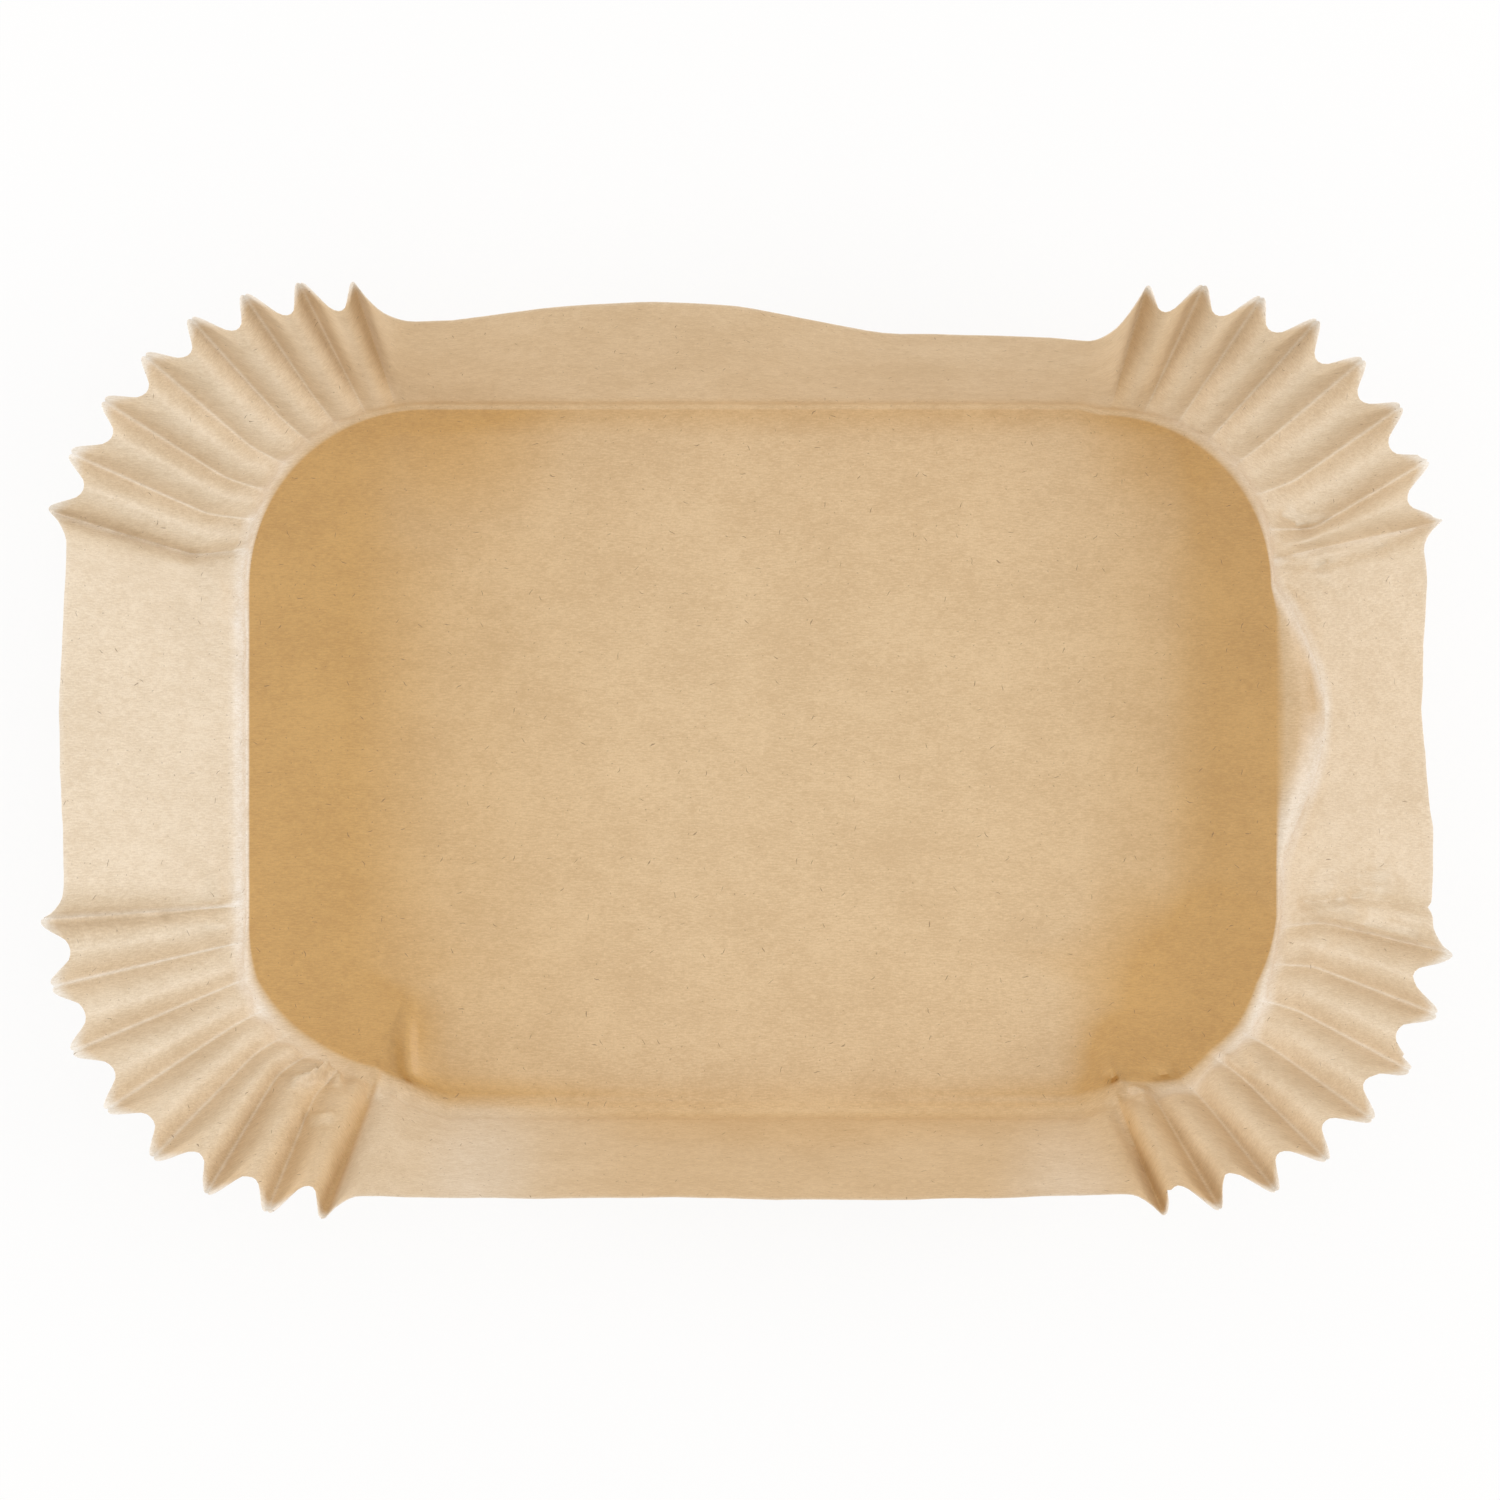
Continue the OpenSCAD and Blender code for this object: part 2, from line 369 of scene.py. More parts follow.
def row_length(st, j):
    """Length of paper between the fold and row j."""
    reach = wall_len - scallop * st["wave"] + st["nudge"]
    if j <= fold_rows:
        return fold_end(st) * j / fold_rows
    if j <= fold_rows + flare_rows:
        return fold_end(st) + (flare_end(st) - fold_end(st)) * (j - fold_rows) / flare_rows
    share = (j - fold_rows - flare_rows) / blade_rows
    return flare_end(st) + (reach - flare_end(st)) * share


# %% [markdown]
# ## Small unevenness
#
# Paper that was pressed, stacked and opened again is never quite flat. Smooth noise gives the
# walls a slow swell, the crests their unequal heights and the cut edge its ripple. The noise is
# read at the place that a point has on the flat blank, so the result is the same each run. The
# cut edge is also nicked in a few pleats of three corners, and each groove ends in a beak.

# %% Unevenness of the sheet
beak_length, beak_slope, beak_round, beak_half = 0.5, 22, 0.105, 0.35


def uneven(point, size, layer):
    """Smooth noise from about -1 to 1 with features of the given size, its own in each layer."""
    return noise.noise(Vector((point.x / size, point.y / size, layer)))


def flat_place(st, t):
    return st["place"] + heading(st["out"]) * t


# Each nick: its corner, its place in pleats, half its width in pleats, and its depth
nicks = [(0, 0.1, 0.07, 1.2), (0, 1.08, 0.06, 1.0), (2, 4.9, 0.12, 0.7), (2, 5.2, 0.25, 0.8),
         (3, 0.28, 0.05, 2.2), (3, 1.2, 0.22, 1.6), (3, 1.45, 0.08, 1.2), (3, 4.75, 0.08, 1.4),
         (3, 5.15, 0.06, 1.8), (3, 6.6, 0.2, 0.9)]


def nick_depth(st):
    """How much paper is torn from the cut edge at a station."""
    return max([0] + [depth * bump((st["groove"] - g) / half) for k, g, half, depth in nicks
                      if st["corner"] == k])


def beak(st):
    """How much further out the cut edge stands round the end of a groove, blunt at its tip."""
    if st["groove"] is None:
        return 0
    away = abs(st["groove"] - round(st["groove"]))
    blunt = beak_slope * (away - math.hypot(away, beak_round) + beak_round)
    return bump(away / beak_half) * (beak_length + blunt)


for st in stations:
    rim = flat_place(st, wall_len)
    ragged = 0.35 * uneven(rim, 14, 1.5) + 0.14 * uneven(rim, 2.2, 7.5)
    if rim.x > floor_l / 2 or rim.y < -floor_w / 2:
        ragged *= 1.8  # the right end and the front were cut or handled more roughly
    st["nudge"] = ragged + beak(st) - nick_depth(st)
    st["depth"] = 1 + 0.22 * uneven(rim, 11, 3.5)
print("first station:", {name: stations[0][name] for name in ("slope", "bend", "nudge")})

# %% [markdown]
# ## Creases and crumples
#
# Where fingers have squeezed the paper it keeps sharp little ridges, most of them at the front
# corners and on both sides of the dent. Each is a line seen from above, from one place to
# another, with a height and half a width; a height below zero makes it a furrow. Round them
# the paper is crumpled in small facets, in round patches that fade out. Both could be painted
# as bump alone, but then they would be missing in a side view, so they are in the mesh.

# %% Creases and crumples
creases = [
    (-97.9, -68.0, -92.8, -66.9, 2.2, 1.3), (-92.8, -66.9, -89.4, -68.4, 2.2, 1.3),
    (-94.5, -76.4, -90.5, -75.4, 1.9, 1.3), (-82.5, -70.5, -90.5, -93.0, -1.2, 2.4),
    (-74.1, -68.0, -75.3, -57.9, 2.1, 2.8),
    (-81.0, -65.3, -81.2, -71.0, 1.0, 1.4), (73.1, -67.4, 80.5, -71.6, 1.8, 1.8),
    (76.0, -71.5, 78.4, -66.0, -0.9, 1.6), (74.0, -75.0, 81.5, -92.0, -1.2, 2.2),
    (78.0, -70.0, 86.0, -66.5, 1.2, 1.5), (95.2, -62.1, 102.6, -67.4, 0.7, 1.3),
    (-109.0, 43.3, -119.9, 41.7, -0.8, 1.5), (-119.9, 41.7, -146.0, 50.3, -1.2, 1.8),
    (-110.0, -31.0, -125.6, -33.7, -0.8, 1.5), (-125.6, -33.7, -147.0, -35.1, -1.1, 1.8),
    (109.5, 40.6, 117.0, 39.8, -1.0, 1.7), (117.0, 39.8, 127.0, 43.0, -1.3, 1.8),
    (127.0, 43.0, 141.0, 49.2, -1.0, 1.8), (109.5, 50.5, 113.0, 48.6, 1.3, 1.2),
    (113.0, 48.6, 117.0, 49.0, 1.3, 1.2),
    (114.0, -31.0, 124.0, -29.5, 1.5, 1.3), (124.0, -29.5, 138.0, -31.5, 1.5, 1.4),
    (120.0, -34.0, 134.0, -37.5, 1.5, 1.4), (116.0, -24.0, 128.0, -25.5, 0.8, 1.4),
    (109.0, 11.0, 114.5, 11.4, -0.6, 1.5),
]
crumples = [(-92, -69, 15), (-79, -67, 13), (77, -69, 11), (98, -64, 11), (112, 41, 12),
            (124, -32, 16), (-112, 30, 12), (-113, -33, 12)]
facet_size, facet_height, facet_level, facet_shake = 7, 2.2, 0.3, 0.4


def crease_height(place):
    """Height of the creases at a place seen from above."""
    height = 0
    for x1, y1, x2, y2, ridge, width in creases:
        start, run = Vector((x1, y1)), Vector((x2 - x1, y2 - y1))
        along = min(1, max(0, (place.xy - start).dot(run) / run.length_squared))
        away = (place.xy - start - run * along).length
        height += ridge * max(0, 1 - away / width)
    return height


def crumple_height(place):
    """Height of the facets in the crumpled patches."""
    share = max(bump((place.xy - Vector((x, y))).length / radius) for x, y, radius in crumples)
    if share == 0:
        return 0
    shake = Vector([uneven(place, facet_size / 1.5, layer) for layer in (13.5, 15.5, 17.5)])
    shaken = Vector((place.x, place.y, 0)) / facet_size + facet_shake * shake
    return facet_height * share * (noise.voronoi(shaken)[0][0] - facet_level)


print("creases:", len(creases), "crumpled patches:", len(crumples))

# %% Find a point of the wall
swell, swell_size, ripple, ripple_size = 0.9, 38, 0.16, 9


def wall_point(st, j):
    """Outer face of the sheet, in millimetres, at a station and a row."""
    t = row_length(st, j)
    out, up, slope = section(st, t)
    across = math.radians(slope)
    smooth_root = pleat_root + push_root * st["push"]
    grown = (max(0, t - smooth_root) / (wall_len - smooth_root)) ** pleat_growth
    flat = flat_place(st, t)
    wave = st["wave"]
    if st["groove"] is not None:
        wave = pleat_wave(st["groove"], mixed(root_round, rim_round, t / wall_len))
    lift = pleat_h * grown * wave * st["depth"]
    lift += swell * uneven(flat, swell_size, 5.5) * min(1, t / 20)
    lift += ripple * uneven(flat, ripple_size, 9.5) * min(1, t / 8)
    share = t / wall_len
    bow = st["bow"] * wall_len * bow_share(share)
    push = st["push"] * corner_r * max(0, 1 - share)
    place = (st["place"] + heading(st["heading"]) * out + Vector((0, 0, up))
             + heading(st["out"] + 90) * bow - heading(st["out"]) * push)
    inwards = Vector((0, 0, math.cos(across))) - heading(st["heading"]) * math.sin(across)
    place += inwards * lift
    lift = (crease_height(place) + crumple_height(place)) * min(1, t / 3)
    return place + inwards * lift


# %% [markdown]
# ## Tones over the sheet
#
# The paper is one colour in the roll, and most tones added here on the pressed tray are painted
# light and shade. A painted shade, deeper and more golden, lies on the floor towards both ends,
# along the folds and on the flanks of the pleats. The walls that fell open towards the soft boxes
# get painted light, which makes them pale, and painted highlights lie in the grooves, at the root
# of the end walls and along the rim of the dent. The cut edge and two patches of the front wall
# are a little lighter. Each tone is a share, kept in a layer of the mesh that the material reads.
# An image could hold them too, but a layer needs no file and stays sharp at the folds.

# %% Tones of the wall
groove_highlight_half, edge_width = 0.045, 0.6


def highlight_and_whitening_share(st, t):
    """Painted highlight at the root, along the dent's rim and in the grooves; lighter at the cut
    edge.
    """
    ring = mixed(0.5 * fold_end(st) + 1.2, fold_end(st) + 0.4, st["opened"] ** 0.5)
    ring_half = 1.7 + 0.4 * st["bend"] * (1 - st["opened"])
    if t > ring:
        ring_half *= 1 + 0.9 * st["root"]
    # Painted highlight in a patchy band along the steep root of the wall
    patchy = 0.95 + 0.5 * uneven(flat_place(st, t), 6, 11.5)
    root = st["root"] * patchy * bump((t - ring) / ring_half)
    # Painted highlight along the rim of the dent
    rim = st["rim_highlight"] * bump((t - ring) / (1 if t > ring else st["rim_width"]))
    # Painted highlight along the bottom of each groove
    groove_highlight = 0
    if st["groove"] is not None:
        groove_highlight = max(0, 1 - abs(st["groove"] - round(st["groove"])) / groove_highlight_half) * min(1, t / 8)
    # The cut edge is a little lighter
    edge = 0.25 * max(0, 1 - (wall_len - t) / edge_width)
    groove_highlight *= (0.05 + 0.25 * st["painted_light"]) * (1 + 1.5 * max(0, st["root"] - 0.8))
    return min(1, max(root, rim) + groove_highlight + edge)


def wall_tones(st, t):
    # Painted shade on the flanks beside each groove, growing up the wall
    flank = 0
    if st["groove"] is not None:
        flank = math.cos(math.pi * st["groove"]) ** 2 * min(1, t / 12)
    # Painted shade at the foot of the wall, where the root has no painted highlight
    at_fold = (1 - min(1, t / (3 + 1.5 * st["bend"]))) * max(0, 1 - st["root"])
    # Less painted light inside the dent
    in_dent = st["opened"] * bump((t - 4) / 12)
    return {
        "highlight_and_whitening": highlight_and_whitening_share(st, t),
        "painted_shade": 0.3 * at_fold + (0.9 - 0.5 * st["painted_light"]) * flank,
        # Painted light, a little less on the flanks of the pleats
        "painted_light": st["painted_light"] * min(1, t / 5) * (1 - 0.2 * flank) * (1 - in_dent),
    }


print("tones at a root:", {name: round(v, 2) for name, v in wall_tones(stations[0], 3).items()})

# %% Tones of the floor and the front fold
# Painted shade, in gold, where the walls and corners shade the floor: its share at places along
# the floor, and round patches of it: place, radius and share
painted_shade_along = [(-108, 1.15), (-92, 1.1), (-82, 0.9), (-76, 0.6), (-60, 0.28), (-40, 0.1),
                (-20, 0), (60, 0), (76, 0.2), (86, 0.45), (92, 0.92), (108, 0.95)]
painted_shade_patches = [(-80, -59, 15, 0.7), (-62, 69, 24, 0.5), (82, 67, 18, 0.4), (88, -52, 28, 1.0),
                  (74, -66, 12, 0.9)]
most_painted_shade = 1.2
# The line that the painted shade follows at the front fold, and the lighter patches: place
# and radius
front_band = [(-100, -66), (-80, -70), (-63, -71), (-28, -75.5), (10, -78), (43, -75),
              (70, -71), (90, -66)]
front_patches = [(-58, -86, 14), (62, -90, 16)]


def floor_tones(point):
    # Painted shade on the floor near the back and front folds, more at the back
    at_side = 0.45 if point.y > 0 else 0.25
    painted_shade = read_table(painted_shade_along, point.x) + at_side * eased((abs(point.y) - 66) / 7)
    for x, y, radius, share in painted_shade_patches:
        painted_shade += share * bump((point.xy - Vector((x, y))).length / radius)
    return {"highlight_and_whitening": 0, "painted_shade": min(most_painted_shade, painted_shade), "painted_light": 0}


def front_tones(place):
    """Painted shade in a soft band along the front fold, and two lighter patches on the front
    wall.
    """
    band = bump((place.y - read_table(front_band, place.x)) / 6)
    return {
        "painted_shade": 0.38 * band * (1 - eased((abs(place.x) - 68) / 14)),
        "highlight_and_whitening": max(0.35 * bump((place.xy - Vector((x, y))).length / radius)
                    for x, y, radius in front_patches),
    }


print("gold in the middle and at the left end:",
      [floor_tones(Vector((x, 0)))["painted_shade"] for x in (0, -floor_l / 2)])

# %% [markdown]
# ## The sheet as a mesh
#
# The mesh starts as a circle of as many edges as there are stations, which is laid on the fold.
# Its edges are extruded row by row up the wall, and then ring by ring over the floor. Each
# vertex keeps the number of its station in a layer, so an extruded ring can be laid out without
# looking for its neighbours. A UV map holds the place on the flat blank, which the paper's
# grain follows.

# %% Lay a circle on the fold
sheet = bmesh.new()
number = sheet.verts.layers.int.new("station")
flat_layer = sheet.verts.layers.float_vector.new("flat")
tone_layers = {name: sheet.verts.layers.float.new(name) for name in ("highlight_and_whitening", "painted_shade", "painted_light")}
bmesh.ops.create_circle(sheet, segments=len(stations), radius=1)
sheet.verts.ensure_lookup_table()
for i, vert in enumerate(sheet.verts):
    vert[number] = i
    vert[flat_layer] = stations[i]["place"] * MM
    vert.co = wall_point(stations[i], 0) * MM
    for name, share in floor_tones(stations[i]["place"]).items():
        vert[tone_layers[name]] = share


def extrude_ring(edges, place_of, flat_of, tones_of):
    """A new ring beside the given edges, laid out by functions of a vertex's station."""
    made = bmesh.ops.extrude_edge_only(sheet, edges=edges)["geom"]
    for vert in (g for g in made if isinstance(g, bmesh.types.BMVert)):
        st = stations[vert[number]]
        vert.co = place_of(st) * MM
        vert[flat_layer] = flat_of(st) * MM
        tones = tones_of(st)
        for name, share in front_tones(vert.co / MM).items():
            tones[name] += share
        for name, share in tones.items():
            vert[tone_layers[name]] = share
    return [g for g in made if isinstance(g, bmesh.types.BMEdge)]


print("vertices on the fold:", len(sheet.verts))

# %% Extrude the walls
fold_edges = list(sheet.edges)
ring = fold_edges
for j in range(1, last_row + 1):
    ring = extrude_ring(
        ring,
        lambda st: wall_point(st, j),
        lambda st: flat_place(st, row_length(st, j)),
        lambda st: wall_tones(st, row_length(st, j)))
print("rows up the wall:", last_row, "faces so far:", len(sheet.faces))

# %% Extrude the floor and close it in the middle
inset_rings = (1.2, 3, 5.5, 9, 13, 18, 24)
scaled_rings = (0.8, 0.6, 0.4, 0.22, 0.08)
floor_lift, settle_width = 0.35, 12


def floor_height(point, inset):
    """A pressed floor is nearly flat: it lifts a little between the places where it rests."""
    wave = max(0, 0.25 + uneven(point, 45, 2.5) + 0.2 * uneven(point, 15, 4.5))
    return floor_lift * min(1, inset / settle_width) * wave


def floor_point(st, inset, scale):
    push = st["push"] * corner_r * max(0, 1 - inset / inset_rings[-1])
    point = (st["place"] - heading(st["out"]) * (inset + push)) * scale
    further_in = 60 * (1 - scale)
    height = floor_height(point, inset + further_in) + max(0, crease_height(point))
    return point + Vector((0, 0, height))


ring = fold_edges
for inset, scale in [(d, 1) for d in inset_rings] + [(inset_rings[-1], s) for s in scaled_rings]:
    ring = extrude_ring(
        ring,
        lambda st: floor_point(st, inset, scale),
        lambda st: (st["place"] - heading(st["out"]) * inset) * scale,
        lambda st: floor_tones((st["place"] - heading(st["out"]) * inset) * scale))
middle = bmesh.ops.contextual_create(sheet, geom=ring)["faces"]
bmesh.ops.poke(sheet, faces=middle)
print("faces of the open sheet:", len(sheet.faces))

# %% [markdown]
# ## Thickness of the paper
#
# Until here the sheet is its own underside and has no thickness. Its faces are turned to look
# down and outwards, and the shell then grows the other way, up and inwards, by the 0.1 mm of
# baking paper. The cut edge gets hard shading, so that the thin rim doesn't darken the wall.

# %% Give the paper its thickness
bmesh.ops.recalc_face_normals(sheet, faces=sheet.faces)
sheet.normal_update()
if sum(face.normal.z for face in sheet.faces) > 0:
    bmesh.ops.reverse_faces(sheet, faces=sheet.faces)
bmesh.ops.solidify(sheet, geom=sheet.faces, thickness=paper_t * MM)
sheet.normal_update()
grain = sheet.loops.layers.uv.new("grain")
for face in sheet.faces:
    face.smooth = True
    for loop in face.loops:
        loop[grain].uv = loop.vert[flat_layer].xy
sharp_from = math.radians(70)
for edge in sheet.edges:
    edge.smooth = edge.calc_face_angle(0) < sharp_from
print("volume of paper, cm3:", round(sheet.calc_volume(signed=True) * 1e6, 2))

liner_mesh = bpy.data.meshes.new("paper_liner")
sheet.to_mesh(liner_mesh)
sheet.free()
liner = bpy.data.objects.new("paper_liner", liner_mesh)
bpy.context.scene.collection.objects.link(liner)
print("triangles:", sum(len(p.vertices) - 2 for p in liner_mesh.polygons))

# %% [markdown]
# ## The look of kraft baking paper
#
# Unbleached paper is never one colour. Its pulp lies in soft clouds, long fibres along the web
# give it a fine streaky mottle, and a few dark hairs and specks of bark lie anywhere. The baking
# coat gives a soft sheen. All of it is noise read from the flat blank, so the grain runs over
# the folds as it does on real paper. Noise on Object coordinates would be simpler, but it
# would stretch down the steep walls.

# %% Start the paper's material
paper = bpy.data.materials.new("kraft_baking_paper")
paper.use_nodes = True
nodes, links = paper.node_tree.nodes, paper.node_tree.links
nodes.clear()


def node(kind, inputs=None, **settings):
    """A node with its settings; an input is a number, a colour or another node's socket."""
    made = nodes.new(kind)
    for name, value in settings.items():
        setattr(made, name, value)
    for name, value in (inputs or {}).items():
        if isinstance(value, bpy.types.NodeSocket):
            links.new(value, made.inputs[name])
        else:
            made.inputs[name].default_value = value
    return made


def maths(operation, a, b=0.0, c=0.0):
    """Result of a Math node on numbers or sockets."""
    return node("ShaderNodeMath", {0: a, 1: b, 2: c}, operation=operation).outputs[0]


def blended(share, a, b, how="MIX"):
    """Colour a with the share of colour b over it; each is a colour or a socket."""
    mix = node("ShaderNodeMix", {0: share}, data_type="RGBA", blend_type=how)
    for socket, value in ((mix.inputs[6], a), (mix.inputs[7], b)):
        if isinstance(value, bpy.types.NodeSocket):
            links.new(value, socket)
        else:
            socket.default_value = (*value, 1)
    return mix.outputs[2]


def remap(value, low, high, to_low=0.0, to_high=1.0):
    """The value with low to high stretched to to_low to to_high, and held there beyond."""
    return node("ShaderNodeMapRange", {
        0: value, 1: low, 2: high, 3: to_low, 4: to_high}).outputs[0]


blank = node("ShaderNodeUVMap", uv_map="grain").outputs[0]


def grain_noise(per_mm_x, per_mm_y, detail=3.0, rough=0.55, turned=0.0):
    """Noise on the flat blank, with so many features in a millimetre along and across."""
    laid = node("ShaderNodeMapping", {
        "Vector": blank, "Rotation": (0, 0, turned), "Scale": (per_mm_x / MM, per_mm_y / MM, 1)})
    return node("ShaderNodeTexNoise", {
        "Vector": laid.outputs[0], "Scale": 1.0, "Detail": detail, "Roughness": rough},
        noise_dimensions="2D").outputs[0]


print("the grain is laid on the UV map:", liner_mesh.uv_layers[0].name)

# %% Clouds, mottling, fibres and tooth
clouds = grain_noise(0.05, 0.07, 3, 0.65)
mottle = grain_noise(0.25, 0.6, 3, 0.65, 0.15)
fibres = grain_noise(0.7, 3.2, 3, 0.65, 0.05)
tooth = grain_noise(2.6, 3.0, 1)

# %% Hairs and specks
def strands(cells_per_mm, length, width, share, shift):
    """Short strands, one in some of the cells of a Voronoi pattern, each turned its own way."""
    wavy = node("ShaderNodeVectorMath", {
        0: blank, 1: (shift, shift * 0.7, 0)}, operation="ADD").outputs[0]
    bend = node("ShaderNodeTexNoise", {"Vector": wavy, "Scale": 0.7 / MM, "Detail": 1.0},
                noise_dimensions="2D").outputs["Color"]
    bent = node("ShaderNodeVectorMath", {
        0: bend, 1: (0.7 * MM, 0.7 * MM, 0), 2: wavy}, operation="MULTIPLY_ADD").outputs[0]
    cell = node("ShaderNodeTexVoronoi", {
        "Vector": bent, "Scale": cells_per_mm / MM, "Randomness": 1.0}, voronoi_dimensions="2D")
    laid = node("ShaderNodeVectorMath", {
        0: bent, 1: cell.outputs["Position"]}, operation="SUBTRACT")
    parts = node("ShaderNodeSeparateColor", {0: cell.outputs["Color"]})
    turned = node("ShaderNodeVectorRotate", {
        "Vector": laid.outputs[0], "Angle": maths("MULTIPLY", parts.outputs[0], 2 * math.pi)},
        rotation_type="Z_AXIS")
    stretched = node("ShaderNodeVectorMath", {
        0: turned.outputs[0], 1: (1 / (length * MM), 1 / (width * MM), 0)}, operation="MULTIPLY")
    far = node("ShaderNodeVectorMath", {
        0: stretched.outputs[0]}, operation="LENGTH").outputs["Value"]
    picked = maths("LESS_THAN", parts.outputs[1], share)
    return maths("MULTIPLY", remap(far, 1.0, 0.55), picked)


hairs = strands(0.16, 0.75, 0.09, 0.32, 0.31)
specks = strands(0.4, 0.22, 0.12, 0.2, 0.77)

# %% Tones of the paper
def share_of(name):
    return node("ShaderNodeAttribute", attribute_name=name).outputs["Fac"]


plain_tone = (0.728, 0.546, 0.330)
# Colour of the painted shade, deeper and more golden
painted_shade_tone = (0.650, 0.397, 0.134)
# Colour of the painted light on the paler walls
painted_light_tone = (0.840, 0.738, 0.590)
# Colour of the painted highlights, also of the lighter cut edge and front patches
highlight_and_whitening_tone = (0.950, 0.930, 0.890)
hair_tone = (0.20, 0.115, 0.05)
# Painted shade, painted light and painted highlights over the paper's own colour
colour = blended(share_of("painted_shade"), plain_tone, painted_shade_tone)
colour = blended(maths("MULTIPLY", share_of("painted_light"), 0.9), colour, painted_light_tone)
colour = blended(share_of("highlight_and_whitening"), colour, highlight_and_whitening_tone)

# %% Grain, hairs and specks over the tones
grain_shade = (0.85, 0.81, 0.75)
grain_mix = maths("MULTIPLY_ADD", mottle, 0.24, maths("MULTIPLY", clouds, 0.26))
grain_mix = maths("MULTIPLY_ADD", fibres, 0.50, grain_mix)
shaded = blended(1.0, colour, grain_shade, "MULTIPLY")
colour = blended(remap(grain_mix, 0.40, 0.60), shaded, colour)
colour = blended(maths("MULTIPLY", remap(tooth, 0.7, 0.35), 0.10), colour, hair_tone)
colour = blended(maths("MULTIPLY", hairs, 0.75), colour, hair_tone)
colour = blended(maths("MULTIPLY", specks, 0.5), colour, hair_tone)

# %% Relief and sheen of the paper
relief = maths("MULTIPLY_ADD", fibres, 0.8, maths("MULTIPLY", mottle, 0.5))
bumps = node("ShaderNodeBump", {"Height": relief, "Strength": 0.35, "Distance": 0.0001})
coat = node("ShaderNodeBsdfPrincipled", {
    "Base Color": colour, "Normal": bumps.outputs[0],
    "Roughness": remap(tooth, 0.3, 0.7, 0.46, 0.56)})
coat.inputs["Specular IOR Level"].default_value = 0.8
node("ShaderNodeOutputMaterial", {"Surface": coat.outputs[0]})
liner_mesh.materials.append(paper)
print("nodes in the paper's material:", len(nodes))

# %% [markdown]
# ## Camera
#
# The photograph looks straight down on the tray. Its edges keep their true curves, so the
# camera stood far above it, here 1.3 m, with a long lens.

# %% Place the camera
camera_height = 1.3
camera_place = (-0.0027, 0.00105, camera_height)
frame_width = 0.3158
camera_data = bpy.data.cameras.new("camera_above")
camera_data.sensor_width = 36
camera_data.lens = camera_data.sensor_width * camera_height / frame_width
camera = bpy.data.objects.new("camera_above", camera_data)
camera.location = camera_place
bpy.context.scene.collection.objects.link(camera)
bpy.context.scene.camera = camera
print("lens, mm:", round(camera_data.lens, 1))

# %% [markdown]
# ## Light
#
# A flat tray shows its folds only in light that comes from low at its sides. Two soft boxes
# stand at its ends, the left one lower than the right, so each end wall shades the floor at
# its own foot a little and catches the light of the other box. Two weaker ones behind it and
# before it draw the pleats of the corners; the front one is the weakest, or the pleats at the
# back would look turned inside out. The rest is even light from all round.

# %% Set up the soft boxes
def soft_box(name, aim_from, size, power, tint):
    data = bpy.data.lights.new(name, "AREA")
    data.shape, data.size, data.size_y = "RECTANGLE", size[0], size[1]
    data.energy, data.color = power, tint
    lamp = bpy.data.objects.new(name, data)
    lamp.location = aim_from
    lamp.rotation_euler = Vector(aim_from).to_track_quat("Z", "Y").to_euler()
    bpy.context.scene.collection.objects.link(lamp)
    return lamp


box_tint = (1.0, 0.985, 0.97)
soft_box("soft_box_left", (-1.2, 0.0, 0.335), (0.7, 0.2), 4.8, box_tint)
soft_box("soft_box_right", (1.1, 0.0, 0.57), (0.7, 0.32), 4.6, box_tint)
soft_box("soft_box_back", (0.0, 1.2, 0.5), (1.0, 0.3), 1.6, box_tint)
soft_box("soft_box_front", (0.0, -1.2, 0.5), (1.0, 0.3), 0.7, box_tint)

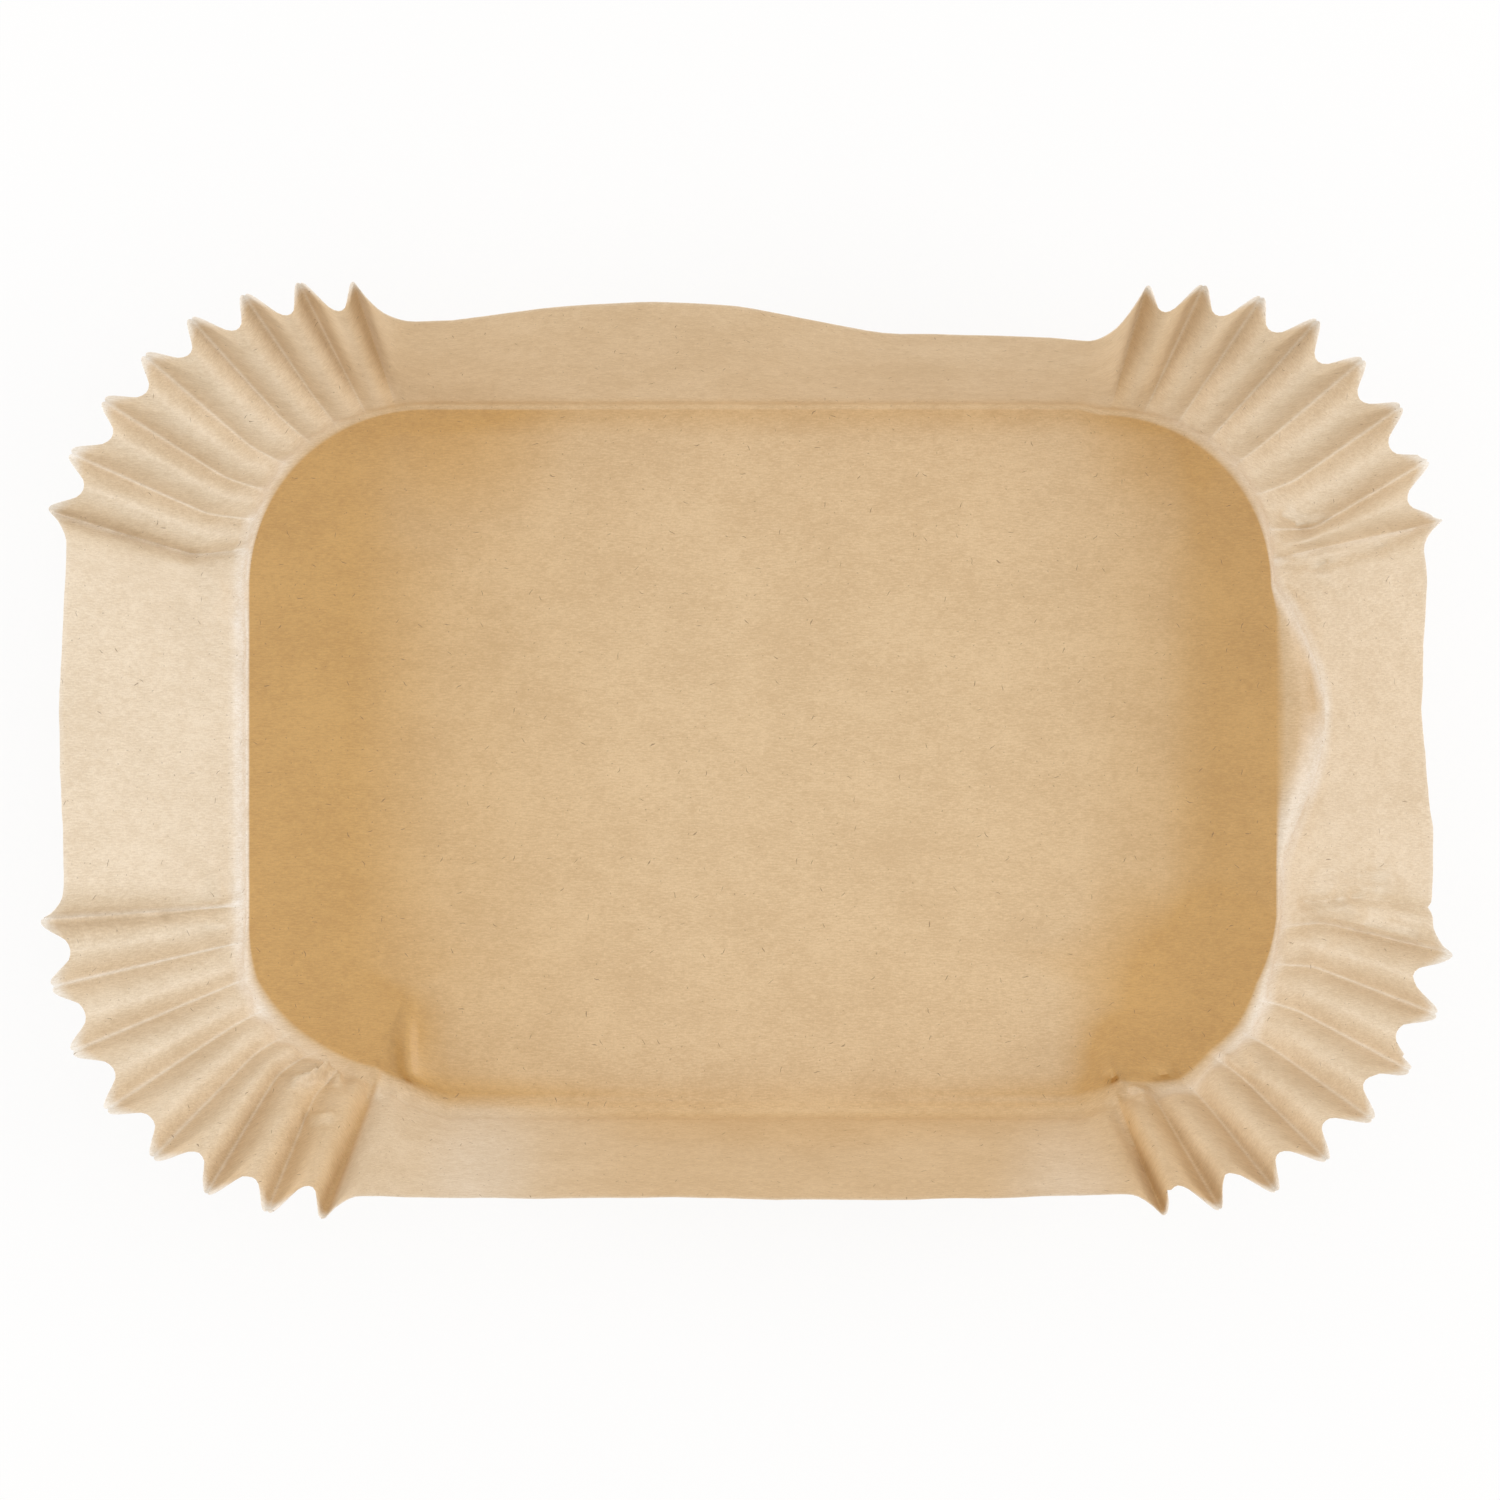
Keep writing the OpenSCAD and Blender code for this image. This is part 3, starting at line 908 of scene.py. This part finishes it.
# %% Set up the even light and the white backdrop
world = bpy.data.worlds.new("studio")
bpy.context.scene.world = world
world.use_nodes = True
nodes, links = world.node_tree.nodes, world.node_tree.links
nodes.clear()
even = node("ShaderNodeBackground", {"Color": (1.0, 0.96, 0.91, 1), "Strength": 0.835})
white = node("ShaderNodeBackground", {"Color": (1, 1, 1, 1), "Strength": 1.0})
seen = node("ShaderNodeLightPath").outputs
mirrored = maths("MAXIMUM", seen["Is Glossy Ray"], seen["Is Transmission Ray"])
both = node("ShaderNodeMixShader", {
    0: maths("MAXIMUM", seen["Is Camera Ray"], mirrored), 1: even.outputs[0], 2: white.outputs[0]})
node("ShaderNodeOutputWorld", {"Surface": both.outputs[0]})

print("nodes in the world:", len(nodes))

# %% Lay the pale floor
ground_half, ground_gap = 4, 0.0002
ground_mesh = bpy.data.meshes.new("studio_floor")
ground_bm = bmesh.new()
bmesh.ops.create_grid(ground_bm, x_segments=8, y_segments=8, size=ground_half)
bmesh.ops.translate(ground_bm, verts=ground_bm.verts, vec=(0, 0, -ground_gap))
ground_bm.to_mesh(ground_mesh)
ground_bm.free()
ground = bpy.data.objects.new("studio_floor", ground_mesh)
bpy.context.scene.collection.objects.link(ground)

# %% Paint the floor
ground_glow = 0.87
ground_paint = bpy.data.materials.new("studio_white")
ground_paint.use_nodes = True
nodes, links = ground_paint.node_tree.nodes, ground_paint.node_tree.links
nodes.clear()
matt = node("ShaderNodeBsdfDiffuse", {"Color": (0.9, 0.9, 0.9, 1)})
glow = node("ShaderNodeEmission", {"Color": (1, 1, 1, 1), "Strength": 1.0})
seen = node("ShaderNodeLightPath").outputs
lifted = maths("MULTIPLY", maths("MAXIMUM", seen["Is Camera Ray"], seen["Is Glossy Ray"]),
               ground_glow)
painted = node("ShaderNodeMixShader", {0: lifted, 1: matt.outputs[0], 2: glow.outputs[0]})
node("ShaderNodeOutputMaterial", {"Surface": painted.outputs[0]})
ground_mesh.materials.append(ground_paint)
print("share of the floor's own shade:", round(1 - ground_glow, 2))

# %% Show colours as they are
bpy.context.scene.view_settings.view_transform = "Standard"

# %% [markdown]
# ## Tie the sheet to the frame
#
# The tray is one piece without joints, so the sheet rides on the only body and stands for the
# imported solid. The floor of the studio is no part of it.

# %% Hand the pieces over
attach(liner, "root")
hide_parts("liner")
